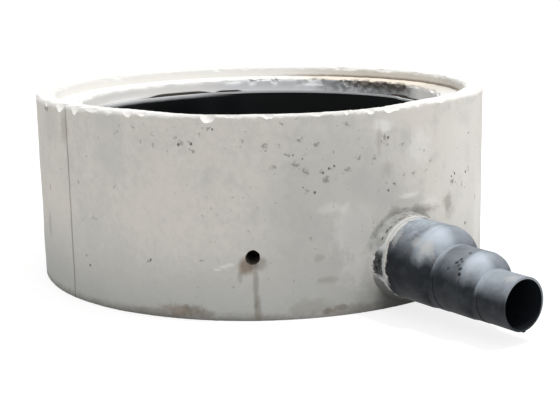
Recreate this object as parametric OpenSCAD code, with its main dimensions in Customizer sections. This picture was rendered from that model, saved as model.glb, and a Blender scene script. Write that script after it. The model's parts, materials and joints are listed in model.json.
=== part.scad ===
// Precast concrete manhole base with a moulded plastic liner and a stepped connection stub.
// Millimetres. The ring's axis is Z, its underside is at z = 0, and the stub points along +X.

/* [Concrete ring] */
// Inside diameter of the ring
bore_d = 1000; // [900:10:1200]
// Thickness of the concrete wall
ring_wall = 120; // [100:5:150]
// Height of the ring
ring_h = 500; // [450:10:700]
// Width of the raised rim outside the rebate
rim_w = 51; // [40:1:60]
// Depth of the rebate that takes the next ring
rebate_depth = 30; // [15:1:40]
// Bevel worn on the concrete's edges
edge = 5; // [2:0.5:8]

/* [Pin hole] */
// Diameter of the lifting pin's hole
pin_hole_d = 32; // [20:1:50]
// Depth of the hole, short of the liner
pin_hole_depth = 100; // [40:1:120]
// Height of the hole's centre
pin_hole_z = 158; // [120:1:250]
// Turn from the stub round to the hole
pin_hole_turn = 36.5; // [25:0.5:60]

/* [Mould seams] */
// Number of parts that the mould comes apart into
mould_parts = 2; // [2:1:4]
// Turn from the stub round to the nearer seam
seam_turn = 86; // [70:0.5:110]
// Width of the line a seam leaves
seam_w = 3; // [2:0.5:6]
// Depth of the line a seam leaves
seam_depth = 1.5; // [0.5:0.5:3]

/* [Liner] */
// Thickness of the liner's wall and floor
liner_t = 8; // [5:0.5:12]
// Drop from the rebate's ledge to the liner's lip
lip_drop = 40; // [20:1:60]
// Rise of the benching from the middle to the wall
bench_rise = 40; // [20:1:60]
// Radius of the corner between the benching and the wall
bench_round = 25; // [10:1:30]
// Length of the full-width channel behind the ring's axis
channel_len = 280; // [150:5:300]
// Length of the channel's ramped end
ramp_len = 110; // [60:5:120]
// Radius of the ramp where it meets the benching
ramp_tip = 24; // [10:1:40]
// Wall of the channel's tube where it is the stub's socket
socket_t = 6; // [4:0.5:10]
// How far the socket stands out of the concrete wall
socket_out = 36; // [24:1:60]
// How far concrete is packed out round the socket
packing_out = 24; // [4:1:24]
// Width of the packed concrete at its outer end
packing_w = 6; // [4:1:10]

/* [Stub] */
// Height of the stub's underside
stub_z = 28; // [25:1:60]
// Wall of the stub
stub_t = 5; // [4:0.5:6]
// Outside diameter of the root, which sits in the socket
root_d = 200; // [190:1:220]
// Outside diameter of the middle step
middle_d = 160; // [150:1:168]
// Outside diameter of the last step
last_d = 125; // [110:1:130]
// Length of the root outside the concrete wall
root_len = 144; // [110:1:180]
// Length of the shoulder after the root
root_shoulder = 43; // [36:1:60]
// Length of the middle step
middle_len = 86; // [60:1:130]
// Length of the shoulder after the middle step
middle_shoulder = 39; // [36:1:60]
// Length of the last step
last_len = 82; // [70:1:150]
// Drop in radius at the line where a step is cut off to suit a larger pipe
cut_step = 2.5; // [1:0.5:4]
// Straight part of a shoulder before it rounds over
shoulder_flat = 6; // [2:1:12]
// Depth of a shoulder's rounding
shoulder_drop = 55; // [40:1:60]
// Rounding at a step's end
step_round = 3; // [1:0.5:4]
// Rise of the underside at each step
invert_step = 0.4; // [0.3:0.1:1]
// Height of the stop ring where a smaller step leaves its shoulder
stop_h = 1; // [0.5:0.5:2]

/* [Fit] */
// Clearance between the concrete, the liner and the stub
fit_gap = 0.2; // [0.1:0.05:0.3]

/* [Hidden] */
$fn = 128;
bore_r = bore_d / 2;
ring_r = bore_r + ring_wall;
rebate_r = ring_r - rim_w;
ledge_z = ring_h - rebate_depth;
lip_z = ledge_z - lip_drop;
liner_r = bore_r - fit_gap - liner_t;
channel_r = root_d / 2 - stub_t;
channel_z = stub_z + root_d / 2;
socket_r = root_d / 2 + fit_gap + socket_t;
socket_to = ring_r + socket_out;
packing_r = socket_r + packing_w;
root_to = ring_r + root_len;
root_shoulder_to = root_to + root_shoulder;
middle_to = root_shoulder_to + middle_len;
middle_shoulder_to = middle_to + middle_shoulder;
last_to = middle_shoulder_to + last_len;
root_r = root_d / 2;
middle_r = middle_d / 2;
last_r = last_d / 2;
middle_low = stub_z + 2 * invert_step + stop_h;
last_low = middle_low + 2 * invert_step + stop_h;
// Number of flats in the liner's rounded corner
corner_flats = 6;
// How far one shape reaches into the next so that they join
lap = 30;
// How far a cut runs past the face it opens
clear = 1;

// Lays a shape drawn along +Z down along +X, at height z.
module along_x(z) {
    translate([0, 0, z]) rotate([0, 90, 0]) children();
}

// The liner's section from the axis out, grown outwards: sloping benching, then the rounded corner.
function bench_section(grow) =
    let (
        slope = atan(bench_rise / (liner_r + grow)),
        round_r = bench_round + grow,
        mid_r = liner_r + grow - round_r,
        mid_z = channel_z - grow + mid_r * tan(slope) + round_r / cos(slope),
        turns = [for (i = [0:corner_flats]) (slope - 90) * (1 - i / corner_flats)]
    )
    concat(
        [[0, channel_z - grow]],
        [for (turn = turns) [mid_r + round_r * cos(turn), mid_z + round_r * sin(turn)]]
    );

// The space inside the liner, grown outwards: dished benching, channel tube and its ramped end.
module tub_space(grow, top, tube_r, tube_to) {
    rotate_extrude()
        polygon(concat(bench_section(grow), [[liner_r + grow, top], [0, top]]));
    along_x(channel_z) {
        translate([0, 0, -channel_len])
            cylinder(h = channel_len + tube_to, r = tube_r);
        translate([0, 0, -channel_len - ramp_len - grow])
            cylinder(h = ramp_len + grow, r1 = ramp_tip + grow, r2 = tube_r);
    }
}

// A round bar from one place to another along X, its far edge rounded to the given length and depth.
module step_bar(from, to, r, round_len, round_depth) {
    arc = [for (a = [0:10:90]) [r - round_depth * (1 - cos(a)), to - round_len * (1 - sin(a))]];
    rotate_extrude()
        polygon(concat([[0, from], [r, from]], arc, [[0, to]]));
}

// One step and the shoulder after it, both with their undersides at the given height.
module step_pair(from, to, r, low, shoulder_to, inset) {
    shoulder_r = r - cut_step;
    round_len = shoulder_to - to - shoulder_flat;
    along_x(low + r)
        step_bar(from, to - inset, r - inset, step_round, step_round);
    along_x(low + invert_step + shoulder_r)
        step_bar(to - lap, shoulder_to - inset, shoulder_r - inset, round_len, shoulder_drop);
}

// The whole stub as solid bars, taken in by a wall's thickness for the inside.
module step_bars(inset, extra) {
    step_pair(bore_r - extra, root_to, root_r, stub_z, root_shoulder_to, inset);
    step_pair(root_to - lap, middle_to, middle_r, middle_low, middle_shoulder_to, inset);
    along_x(last_low + last_r)
        translate([0, 0, middle_to - lap])
            cylinder(h = last_to + extra - middle_to + lap, r = last_r - inset);
}

// The ring at the start of a smaller step, where a coupling pushed over that step comes to rest.
module stop_ring(from, to, r, low) {
    along_x(low + r)
        translate([0, 0, from])
            cylinder(h = to - from, r = r + stop_h);
}

// A groove down the outside of the wall, as the joint between two mould halves leaves it.
module seam(turn) {
    rotate([0, 0, turn])
        translate([ring_r - seam_depth, -seam_w / 2, -clear])
            cube([seam_depth + clear, seam_w, ring_h + 2 * clear]);
}

// One concrete casting: floor, wall, rebated top, the liner's bed, the socket's opening and the pin hole.
module concrete_ring() {
    color([0.74, 0.73, 0.70])
    difference() {
        union() {
            rotate_extrude()
                polygon([
                    [0, 0],
                    [ring_r - edge, 0],
                    [ring_r, edge],
                    [ring_r, ring_h - edge],
                    [ring_r - edge, ring_h],
                    [rebate_r, ring_h],
                    [rebate_r, ledge_z],
                    [0, ledge_z]
                ]);
            along_x(channel_z)
                translate([0, 0, ring_r - lap])
                    cylinder(h = packing_out + lap, r1 = packing_r + packing_w, r2 = packing_r);
        }
        tub_space(liner_t + fit_gap, ring_h + clear, socket_r + fit_gap, socket_to + clear);
        translate([0, 0, ledge_z - edge])
            cylinder(h = edge + clear, r1 = bore_r, r2 = bore_r + edge + clear);
        rotate([0, 0, -pin_hole_turn])
            along_x(pin_hole_z)
                translate([0, 0, ring_r - pin_hole_depth])
                    cylinder(h = pin_hole_depth + clear, r = pin_hole_d / 2);
        for (part = [0:mould_parts - 1])
            seam(part * 360 / mould_parts - seam_turn);
    }
}

// One plastic moulding: wall, benching, channel and the socket that passes through the concrete.
module liner() {
    color([0.10, 0.10, 0.11])
    difference() {
        tub_space(liner_t, lip_z, socket_r, socket_to);
        tub_space(0, lip_z + clear, channel_r, bore_r);
        along_x(channel_z)
            translate([0, 0, bore_r])
                cylinder(h = ring_r, r = root_r + fit_gap);
    }
}

// One plastic moulding pushed into the socket: three steps and their shoulders, open at both ends.
module stub() {
    color([0.22, 0.23, 0.25])
    difference() {
        union() {
            step_bars(0, 0);
            stop_ring(root_to, root_shoulder_to, middle_r, middle_low);
            stop_ring(middle_to, middle_shoulder_to, last_r, last_low);
        }
        step_bars(stub_t, clear);
    }
}

concrete_ring();
liner();
stub();
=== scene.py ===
"""Looks of a lined concrete manhole base: worn concrete, a black plastic liner and a dusty stepped stub."""
import json
import math

import bpy
import numpy as np
from bpy.props import FloatProperty, FloatVectorProperty, IntProperty, PointerProperty
from mathutils import Matrix, Vector, noise


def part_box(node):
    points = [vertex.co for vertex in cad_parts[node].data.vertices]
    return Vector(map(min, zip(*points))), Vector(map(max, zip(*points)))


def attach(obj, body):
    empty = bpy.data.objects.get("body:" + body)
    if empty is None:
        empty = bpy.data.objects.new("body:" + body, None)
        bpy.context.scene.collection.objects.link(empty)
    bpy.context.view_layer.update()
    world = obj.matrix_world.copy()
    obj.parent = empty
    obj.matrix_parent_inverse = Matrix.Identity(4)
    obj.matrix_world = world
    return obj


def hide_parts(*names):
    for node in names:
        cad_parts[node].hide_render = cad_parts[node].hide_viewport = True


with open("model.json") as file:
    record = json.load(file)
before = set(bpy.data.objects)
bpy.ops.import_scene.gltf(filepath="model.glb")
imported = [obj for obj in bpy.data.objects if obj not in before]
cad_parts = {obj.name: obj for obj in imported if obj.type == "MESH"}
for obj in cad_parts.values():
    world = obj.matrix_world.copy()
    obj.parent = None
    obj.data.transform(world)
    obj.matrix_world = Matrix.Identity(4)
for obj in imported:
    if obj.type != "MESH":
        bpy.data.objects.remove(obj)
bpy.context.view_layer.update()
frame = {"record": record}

bl_info = {
    "name": "Lined Manhole Base",
    "version": (1, 0, 0),
    "blender": (4, 5, 0),
    "location": "3D View > Sidebar > Manhole",
    "description": "Builds the visible pieces of a lined concrete manhole base round its solids",
    "category": "Add Mesh",
}

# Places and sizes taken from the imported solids, in metres
MOUNTS = {mount["name"]: mount for mount in frame["record"]["mounts"]}
RING_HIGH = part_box("concrete_ring")[1]
LINER_LOW, LINER_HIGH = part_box("liner")
STUB_LOW, STUB_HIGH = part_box("stub")
RING_R = RING_HIGH.y
RING_H = RING_HIGH.z
FIT_GAP = 0.0002
BORE_R = FIT_GAP - LINER_LOW.x
LEDGE_Z = MOUNTS["ring_seat"]["pos_m"][2]
REBATE_R = 2 * abs(MOUNTS["ring_seat"]["pos_m"][0]) - BORE_R
HOLE_PLACE = MOUNTS["pin_hole"]["pos_m"]
HOLE_R = MOUNTS["pin_hole"]["dims"]["r_mm"] / 1000
HOLE_DEPTH = MOUNTS["pin_hole"]["dims"]["length_mm"] / 1000
HOLE_TURN = math.atan2(HOLE_PLACE[1], HOLE_PLACE[0])
STUB_FOOT = STUB_LOW.z
ROOT_R = STUB_HIGH.y
LAST_R = MOUNTS["pipe_end"]["dims"]["r_mm"] / 1000
TUBE_Z = STUB_FOOT + ROOT_R
TAPER_FROM = RING_R + 0.006
# Farthest that worn faces stray from the solid faces
WANDER = 0.002

# Photograph's width, in pixels
FRAME_W = 560


def length(name, description, default):
    """A length that a user can change."""
    return FloatProperty(name=name, description=description, default=default, unit="LENGTH", precision=4)


def share(name, description, default):
    """A plain number that a user can change."""
    return FloatProperty(name=name, description=description, default=default)


def tint(name, description, default):
    """A colour that a user can change, in linear light."""
    return FloatVectorProperty(name=name, description=description, default=default, subtype="COLOR",
                               min=0, max=1)


def turn(name, description, degrees):
    """An angle that a user can change."""
    return FloatProperty(name=name, description=description, default=math.radians(degrees),
                         subtype="ANGLE", unit="ROTATION")


class ConcreteSettings(bpy.types.PropertyGroup):
    """Sizes, wear and colours of the concrete ring"""
    edge_wear: length("Edge wear", "Bevel worn on every edge", 0.004)
    edge_chips: length("Edge chips", "How unevenly the edges are worn", 0.003)
    scallops: length("Scallops", "How deeply the ledge's inner edge is scalloped", 0.015)
    worn_at: share("Scallops at", "Turn from the stub round to the middle of the scallops, in degrees", 128)
    worn_span: share("Scallops' span", "Turn from the scallops' middle to their end, in degrees", 30)
    waviness: length("Waviness", "How far the cast faces wander", 0.0012)
    rim_wear: length("Rim wear", "How far the rim's inner edge is worn down at the front", 0.0078)
    rim_wear_at: share("Rim wear at", "Turn from the stub to the middle of the worn rim, in degrees", -29)
    rim_wear_span: share("Rim wear span", "Turn from the worn rim's middle to its end, in degrees", 31)
    seam_at: turn("Seam", "Turn from the stub round to the nearer mould seam", -86)
    seam_width: length("Seam width", "Width of the line that a mould seam leaves", 0.003)
    seam_depth: length("Seam depth", "Depth of the line that a mould seam leaves", 0.0015)
    packing_wall: length("Packing", "Concrete packed round the socket, where it meets the wall", 0.004)
    columns: IntProperty(name="Columns", description="Points round the ring", default=480)
    hole_density: share("Air holes", "Air holes in a square metre of the most pitted wall", 900)
    hole_least: length("Least air hole", "Radius of the smallest air holes", 0.0012)
    hole_most: length("Largest air hole", "Radius of the largest air holes", 0.0040)
    broken_at: share("Broken at", "Turn from the stub to the middle of the broken edge, in degrees", 99)
    broken_span: share("Broken span", "Turn from the broken edge's middle to its end, in degrees", 14)
    sound_at: share("Sound at", "Turn from the stub to the middle of the sound edge, in degrees", 36)
    sound_span: share("Sound span", "Turn from the sound edge's middle to its end, in degrees", 48)
    bite_density: share("Ledge bites", "Bites in a square metre of the ledge's broken edge", 6000)
    bite_least: length("Least bite", "Radius of the smallest bites out of the ledge's edge", 0.005)
    bite_most: length("Largest bite", "Radius of the largest bites out of the ledge's edge", 0.018)
    pale: tint("Pale", "Dry cement skin", (0.650, 0.621, 0.575))
    grey: tint("Grey", "Greyer clouds in the cement skin", (0.565, 0.550, 0.517))
    # This tone also goes into the painted shade on the packing's collar near the wall.
    damp: tint("Damp", "Cooler, damp concrete low on the wall", (0.405, 0.412, 0.400))
    smeared: tint("Smeared", "Grey cement smeared on the wall", (0.440, 0.438, 0.422))
    # This tone is also painted highlight on the rim's tops and on the rebate's lit face.
    bleached: tint("Bleached", "Sun-bleached top faces and fresh chips", (0.800, 0.788, 0.758))
    # This tone is partly painted highlight, where the inner faces at the sides are lit.
    lime_and_highlight: tint("Lime", "Lime white concrete at the sides below the ledge", (0.900, 0.890, 0.868))
    cream: tint("Cream", "Warm dust on the ledge", (0.780, 0.700, 0.590))
    inner: tint("Inner", "Cool clean concrete below the ledge", (0.790, 0.805, 0.828))
    # This tone is dirt and painted shade on the inner face that turns from the light.
    inner_dark: tint("Inner dark", "Dirty concrete below the broken edge", (0.205, 0.215, 0.225))
    rust: tint("Rust", "Brown stains", (0.205, 0.150, 0.105))
    soil: tint("Soil", "Grey-brown streaks and splashes", (0.170, 0.148, 0.118))
    # This tone is brown crust and painted shade.
    broken: tint("Broken", "Dark brown concrete where the ledge is broken", (0.062, 0.048, 0.034))
    dirt: tint("Dirt", "Dark soil and grime", (0.115, 0.102, 0.085))
    moss: tint("Moss", "Olive grime in small pits", (0.150, 0.143, 0.112))
    # Painted shade: the stub's shadow on the wall, and the shade on the packing near the wall and under it.
    painted_shade: tint("Wet", "Wet concrete in the shelter of the stub", (0.105, 0.105, 0.101))
    # Painted shade: near black deep in the pin hole, in the gaps behind the packing's bead and behind the
    # liner's lip.
    shadow: tint("Shadow", "Grime deep in the pin hole", (0.042, 0.035, 0.028))


class LinerSettings(bpy.types.PropertyGroup):
    """Sizes and colours of the plastic liner"""
    wall: length("Wall", "Thickness of the liner", 0.008)
    bench_rise: length("Benching rise", "Rise of the benching from the middle to the wall", 0.040)
    bench_round: length("Benching corner", "Radius of the corner between the benching and the wall", 0.025)
    channel_back: length("Channel", "Length of the channel behind the ring's axis", 0.280)
    ramp: length("Ramp", "Length of the channel's ramped end", 0.110)
    ramp_tip: length("Ramp tip", "Radius of the ramp where it meets the benching", 0.024)
    socket_wall: length("Socket wall", "Wall of the tube that passes through the concrete", 0.006)
    socket_taper: length("Socket taper", "How much thinner the socket's wall is at its end", 0.0045)
    warp_drop: length("Warp drop", "How far below the lip the lean begins", 0.090)
    black: tint("Black", "Clean liner", (0.0070, 0.0077, 0.0086))
    # This tone also paints a highlight in a band inside the lip on the left.
    dust: tint("Dust", "Pale dust on the lip", (0.800, 0.812, 0.825))


class StubSettings(bpy.types.PropertyGroup):
    """Sizes and colours of the stepped stub"""
    wall: length("Wall", "Thickness of the stub", 0.005)
    middle_r: length("Middle radius", "Outside radius of the middle step", 0.080)
    root_len: length("Root", "Length of the root outside the concrete wall", 0.144)
    root_shoulder: length("Root shoulder", "Length of the shoulder after the root", 0.043)
    middle_len: length("Middle", "Length of the middle step", 0.086)
    middle_shoulder: length("Middle shoulder", "Length of the shoulder after the middle step", 0.039)
    cut_step: length("Cut step", "Drop in radius at a cut line, softened by dust", 0.0008)
    shoulder_flat: length("Shoulder flat", "Straight part of a shoulder", 0.002)
    shoulder_drop: length("Shoulder drop", "Depth of a shoulder's rounding", 0.066)
    step_round: length("Step rounding", "Rounding at a step's end", 0.0008)
    invert_step: length("Invert step", "Rise of the underside at each step", 0.0004)
    stop: length("Stop ring", "Height of the stop ring where a smaller step leaves its shoulder", 0.001)
    lap: length("Lap", "How far one step reaches into the next", 0.030)
    black: tint("Black", "Clean plastic", (0.0086, 0.0112, 0.0150))
    # Spread over the stub, this tone also carries painted light and shade: lit tops, shaded sides,
    # highlights at the steps and the mouth.
    dust: tint("Dust", "Blue-grey dust on the tops", (0.596, 0.658, 0.732))
    cement: tint("Cement", "Splashed cement", (0.500, 0.490, 0.465))
    bead: tint("Bead", "Ring of cement where the root enters the socket", (0.640, 0.625, 0.590))


class StageSettings(bpy.types.PropertyGroup):
    """Camera, light and floor"""
    distance: length("Distance", "Camera's distance from the ring's axis", 3.286)
    height: length("Height", "Camera's height", 0.8431)
    azimuth: turn("Azimuth", "Camera's place round the ring, from the stub", -34.15)
    heading: turn("Heading", "Camera's turn off the ring's axis", 0.8785)
    pitch: turn("Pitch", "Camera's tilt below the horizon", 12.094)
    roll: turn("Roll", "Camera's roll", -1.0848)
    focal: share("Focal length", "Focal length in pixels of the photograph", 1163.8)
    key_power: share("Key", "Power of the key light in watts", 222)
    key_size: length("Key size", "Width of the key light", 1.1)
    key_azimuth: turn("Key azimuth", "Key light's place round the ring, from the camera", 76)
    key_height: turn("Key height", "Key light's height above the horizon", 66)
    key_distance: length("Key distance", "Key light's distance", 7.0)
    sky: share("Sky", "Strength of the plain white surroundings", 0.90)
    floor: tint("Floor", "Floor as it throws light back", (0.62, 0.62, 0.61))
    floor_seen: tint("Floor seen", "Floor as the camera sees it, under its glow", (0.30, 0.30, 0.30))
    floor_glow: share("Floor glow", "Strength of the floor's glow where the camera sees it", 0.78)
    floor_half: length("Floor half width", "Half width of the floor", 30)


# Stains and smears on the outside wall: turn from the stub in degrees, height, half width and half height in
# metres, raggedness, strength and colour
WALL_MARKS = (
    (-17.0, 0.230, 0.190, 0.260, 0.7, 0.62, "smeared"),
    (26.0, 0.260, 0.170, 0.300, 0.7, 0.34, "bleached"),
    (-13.0, 0.205, 0.050, 0.060, 2.4, 0.30, "bleached"),
    (-18.5, 0.268, 0.030, 0.012, 2.2, 0.28, "bleached"),
    (-10.0, 0.120, 0.060, 0.060, 2.6, 0.28, "bleached"),
    (0.1, 0.259, 0.036, 0.018, 2.0, 0.42, "smeared"),
    (-2.5, 0.238, 0.026, 0.012, 2.6, 0.46, "soil"),
    (5.6, 0.233, 0.042, 0.014, 2.6, 0.66, "soil"),
    (14.8, 0.236, 0.018, 0.022, 2.4, 0.44, "soil"),
    (15.9, 0.212, 0.024, 0.018, 2.2, 0.22, "soil"),
    (-6.0, 0.456, 0.028, 0.014, 2.0, 0.60, "bleached"),
    (4.5, 0.398, 0.038, 0.036, 2.2, 0.42, "bleached"),
    (0.9, 0.277, 0.026, 0.006, 2.0, 0.50, "bleached"),
    (8.0, 0.248, 0.032, 0.014, 2.2, 0.40, "bleached"),
    (-7.2, 0.420, 0.008, 0.034, 1.8, 0.26, "soil"),
    (-4.8, 0.351, 0.018, 0.018, 2.2, 0.22, "soil"),
    (-9.4, 0.318, 0.042, 0.036, 2.2, 0.32, "smeared"),
    (-12.4, 0.208, 0.034, 0.058, 1.4, 0.36, "smeared"),
    (-5.6, 0.290, 0.050, 0.030, 1.6, 0.22, "smeared"),
    (-95.0, 0.445, 0.060, 0.050, 1.5, 0.30, "smeared"),
    (-38.0, 0.137, 0.017, 0.020, 1.1, 0.82, "rust"),
    (-36.4, 0.137, 0.012, 0.010, 1.0, 0.55, "soil"),
    (-34.9, 0.143, 0.015, 0.016, 1.0, 0.50, "soil"),
    (-36.0, 0.085, 0.0065, 0.055, 1.5, 0.46, "soil"),
    (-35.6, 0.025, 0.0085, 0.034, 1.5, 0.52, "soil"),
    (-39.4, 0.110, 0.006, 0.014, 1.4, 0.34, "soil"),
    (-44.4, 0.128, 0.010, 0.0035, 0.8, 0.40, "bleached"),
    (-43.0, 0.135, 0.010, 0.0035, 0.8, 0.45, "bleached"),
    (-41.6, 0.140, 0.010, 0.0035, 0.8, 0.40, "bleached"),
    (-54.0, 0.024, 0.040, 0.015, 2.4, 0.60, "rust"),
    (-50.0, 0.026, 0.026, 0.014, 2.4, 0.60, "soil"),
    (-47.5, 0.018, 0.020, 0.010, 2.2, 0.45, "soil"),
    (-60.5, 0.012, 0.060, 0.010, 2.2, 0.34, "soil"),
    (-24.0, 0.030, 0.060, 0.018, 2.4, 0.28, "soil"),
    (-14.5, 0.016, 0.070, 0.012, 2.4, 0.40, "soil"),
    (-86.9, 0.446, 0.018, 0.036, 1.5, 0.32, "soil"),
    (-21.7, 0.150, 0.012, 0.010, 2.0, 0.26, "soil"),
    (-20.1, 0.094, 0.024, 0.008, 2.2, 0.28, "soil"),
    (-19.6, 0.016, 0.017, 0.006, 2.0, 0.55, "soil"),
    (-16.6, 0.022, 0.014, 0.006, 2.0, 0.45, "soil"),
    (37.0, 0.160, 0.060, 0.100, 0.8, 0.40, "bleached"),
    (-97.0, 0.482, 0.014, 0.007, 2.6, 0.55, "dirt"),
    (-100.0, 0.170, 0.011, 0.030, 1.6, 0.30, "soil"),
)

# Small pits and specks on the outside wall: turn from the stub in degrees, height and radius in metres
WALL_SPOTS = (
    (-33.3, 0.427, 0.008), (-31.9, 0.374, 0.009), (-28.5, 0.401, 0.007), (-27.0, 0.378, 0.011),
    (-26.0, 0.435, 0.009), (-24.5, 0.361, 0.010), (-24.5, 0.397, 0.006), (-24.4, 0.313, 0.007),
    (-24.3, 0.413, 0.005), (-23.8, 0.199, 0.008), (-22.1, 0.422, 0.009), (-21.1, 0.360, 0.008),
    (-20.1, 0.338, 0.010), (-18.8, 0.368, 0.006), (-17.9, 0.336, 0.006), (-15.6, 0.440, 0.005),
    (-15.3, 0.465, 0.010), (-15.1, 0.358, 0.008), (-12.6, 0.385, 0.008), (-11.6, 0.406, 0.007),
    (-8.8, 0.380, 0.008), (-5.7, 0.427, 0.011), (-5.2, 0.412, 0.008), (-5.2, 0.315, 0.008),
    (-3.0, 0.307, 0.006), (-0.8, 0.404, 0.007), (-0.5, 0.331, 0.006), (2.3, 0.330, 0.009),
    (5.8, 0.383, 0.007), (6.6, 0.332, 0.007), (8.0, 0.354, 0.007), (17.0, 0.287, 0.011),
    (19.0, 0.279, 0.008), (22.1, 0.269, 0.009), (25.9, 0.303, 0.010), (31.6, 0.218, 0.011),
    (-47.8, 0.148, 0.008), (-61.0, 0.136, 0.006), (-67.2, 0.464, 0.007), (-67.9, 0.449, 0.006),
    (-76.3, 0.228, 0.008), (-80.8, 0.218, 0.005), (-80.4, 0.126, 0.005), (-77.8, 0.115, 0.005),
    (-76.1, 0.110, 0.005), (-73.6, 0.429, 0.006), (-68.9, 0.445, 0.005), (-63.1, 0.465, 0.005),
    (-58.6, 0.450, 0.006), (-61.6, 0.430, 0.006), (-58.3, 0.423, 0.007), (-55.3, 0.412, 0.006),
    (-53.2, 0.441, 0.006), (-51.9, 0.432, 0.008), (-49.8, 0.435, 0.007), (-47.5, 0.451, 0.006),
    (-45.5, 0.467, 0.007), (-49.3, 0.415, 0.006), (-38.5, 0.434, 0.008), (-33.2, 0.419, 0.006),
    (-30.4, 0.426, 0.006), (-29.6, 0.476, 0.008), (-78.1, 0.384, 0.008), (-82.0, 0.313, 0.007),
    (-69.6, 0.315, 0.006), (-97.5, 0.274, 0.009),
)

# Dark gaps behind the bead of concrete round the socket: turn from the top and half turn in degrees, place
# out of the wall and half width in metres
PACKING_GAPS = (
    (44, 4, 0.0200, 0.0034),
    (38, 4, 0.0215, 0.0026),
    (56, 3, 0.0190, 0.0024),
    (27, 3, 0.0215, 0.0016),
    (20, 4, 0.0215, 0.0022),
    (13, 4, 0.0220, 0.0018),
    (-4, 2, 0.0220, 0.0024),
)

# Chips along the top edge: turn from the stub in degrees, half width and drop in metres
TOP_CHIPS = (
    (-97.0, 0.016, 0.012),
    (-88.5, 0.022, 0.019),
    (-81.7, 0.019, 0.020),
    (-76.0, 0.034, 0.009),
    (-70.5, 0.020, 0.007),
    (-64.8, 0.016, 0.016),
    (-61.0, 0.022, 0.009),
    (-54.5, 0.030, 0.007),
    (-45.6, 0.020, 0.020),
    (-40.5, 0.028, 0.007),
    (-32.6, 0.017, 0.012),
    (-27.0, 0.026, 0.006),
    (-22.0, 0.030, 0.008),
    (-15.1, 0.009, 0.013),
    (-9.6, 0.016, 0.015),
    (-4.0, 0.030, 0.013),
    (4.0, 0.018, 0.009),
    (12.5, 0.024, 0.009),
)
# A chip is cut by a ball set outwards and upwards of the edge: its size and shift as shares of the chip's
# drop, and its width as a share of the chip's half width
CHIP_BALL = 2.22
CHIP_SHIFT = 0.99
CHIP_WIDTH = 1.29

# Stretches where the lip leans in off the concrete: turn from the stub and half span in degrees, and lean
# in metres
LIP_LEANS = ((180, 18, 0.014), (157.5, 7, 0.008), (79, 11, 0.016), (-60, 40, 0.005))

# Marks on the stub: place along it in metres, turn from its top in degrees, half length in metres, half
# turn in degrees, raggedness, strength and colour
STUB_MARKS = (
    (0.778, 47, 0.018, 12, 1.6, 0.60, "cement"),
    (0.770, 62, 0.012, 9, 2.0, 0.24, "cement"),
    (0.745, 47, 0.016, 8, 1.8, 0.42, "cement"),
    (0.676, 48, 0.010, 16, 2.4, 0.45, "cement"),
    (0.995, 18, 0.016, 16, 2.2, 0.42, "cement"),
    (0.860, 43, 0.0050, 4.0, 2.0, 0.85, "black"),
    (0.866, 35, 0.0034, 3.6, 2.0, 0.85, "black"),
    (0.874, 39, 0.0036, 2.8, 2.0, 0.75, "black"),
    (0.880, 52, 0.0050, 3.8, 2.0, 0.80, "black"),
    (0.870, 47, 0.0032, 2.8, 2.0, 0.80, "black"),
    (0.845, 56, 0.0042, 3.2, 2.0, 0.70, "black"),
    (0.871, 16, 0.0046, 3.6, 2.2, 0.65, "black"),
    (0.884, 61, 0.0056, 3.8, 1.0, 0.98, "black"),
    (0.888, 69, 0.0014, 8.0, 0.5, 0.80, "black"),
)


def lathe(profile, angles):
    """Rows of points of a profile of radius and height turned round Z."""
    radius, height = np.array(profile, float).T
    rows = np.empty((len(radius), len(angles), 3))
    rows[..., 0] = np.outer(radius, np.cos(angles))
    rows[..., 1] = np.outer(radius, np.sin(angles))
    rows[..., 2] = height[:, None]
    return rows


def along_x(rows, height):
    """Lays rows turned round Z down along X: angle 0 is the top and a quarter turn faces -Y."""
    return np.stack([rows[..., 2], -rows[..., 1], height + rows[..., 0]], -1)


def circle(count):
    """Angles of a full turn."""
    return np.linspace(-math.pi, math.pi, count, endpoint=False)


def graded(start, end, count):
    """Numbers from start to just before end, closer together near both ends."""
    even = np.arange(count) / count
    eased = (1 - np.cos(math.pi * even)) / 2
    return start + (end - start) * (0.4 * even + 0.6 * eased)


def closed_solid(name, material, *shapes):
    """Closed solids over rows of points round an axis, each from a point on the axis to another."""
    vertices, faces = [], []
    for rows in shapes:
        count, around = rows.shape[:2]
        base = len(vertices)
        vertices += rows[1:-1].reshape(-1, 3).tolist()
        low, high = len(vertices), len(vertices) + 1
        vertices += [rows[0, 0].tolist(), rows[-1, 0].tolist()]
        here = np.arange(around)
        after = np.roll(here, -1)
        start = base + np.arange(count - 3)[:, None] * around
        above = start + around
        quads = np.stack([start + here, start + after, above + after, above + here], -1)
        top = base + (count - 3) * around
        faces += quads.reshape(-1, 4).tolist()
        faces += [(low, base + b, base + a) for a, b in zip(here.tolist(), after.tolist())]
        faces += [(top + a, top + b, high) for a, b in zip(here.tolist(), after.tolist())]
    return mesh_object(name, vertices, faces, material)


def mesh_object(name, vertices, faces, material):
    """A mesh object at the origin, in the scene."""
    mesh = bpy.data.meshes.new(name)
    mesh.from_pydata(np.asarray(vertices).tolist(), [], faces)
    mesh.materials.append(material)
    piece = bpy.data.objects.new(name, mesh)
    bpy.context.scene.collection.objects.link(piece)
    return piece


def field(points, scale, seed, octaves=3):
    """Smooth noise of about -1 to 1 at each point, with features about 1 / scale metres wide."""
    shift = Vector((seed * 7.3, seed * 3.1, seed * 5.7))
    flat = points.reshape(-1, 3) * scale
    values = [noise.fractal(Vector(point) + shift, 1.0, 2.0, octaves) for point in flat]
    return np.array(values).reshape(points.shape[:-1])


def rise(values, low, high):
    """0 below low, 1 above high and a soft rise between them."""
    part = np.clip((values - low) / (high - low), 0, 1)
    return part * part * (3 - 2 * part)


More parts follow.
